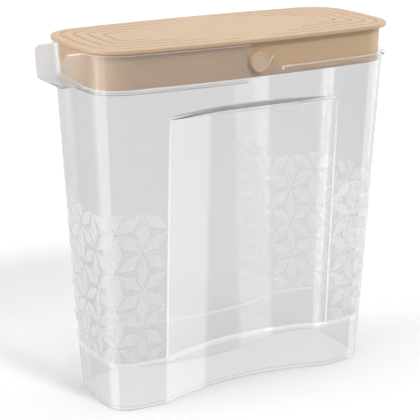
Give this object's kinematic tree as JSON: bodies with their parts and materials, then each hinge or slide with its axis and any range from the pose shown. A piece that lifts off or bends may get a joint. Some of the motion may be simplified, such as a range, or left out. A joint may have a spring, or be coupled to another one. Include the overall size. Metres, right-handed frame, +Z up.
{
  "type": "laundry powder container",
  "caption": "Clear upright container for laundry powder, with hand grips, a pouring spout and a see-saw lid that tips on two studs and lifts off.",
  "frame": {"origin": "middle of the overall footprint, on the plane that the container stands on", "axes": "+X along the container away from the spout, +Y to the back, +Z up"},
  "size_m": [0.2449, 0.1004, 0.25],
  "materials": {
    "clear_container": "clear polypropylene, polished mould, white printed star pattern",
    "lid_moulding": "tan polypropylene, fine satin mould texture",
    "pivot_studs": "tan polypropylene, satin"
  },
  "bodies": {
    "tub": {"container": "clear_container"},
    "studs": {"front_pivot_stud": "pivot_studs", "rear_pivot_stud": "pivot_studs"},
    "lid": {"lid": "lid_moulding"}
  },
  "joints": [
    {"name": "lid_lift_off", "type": "slide", "parent": "tub", "child": "studs", "axis": [0, 0, 1], "range_m": [0, 0.05]},
    {"name": "lid_tilt", "type": "hinge", "parent": "studs", "child": "lid", "pos_m": [0.00615, 0, 0.2343], "axis": [0, 1, 0], "range_deg": [0, 8.5]}
  ]
}
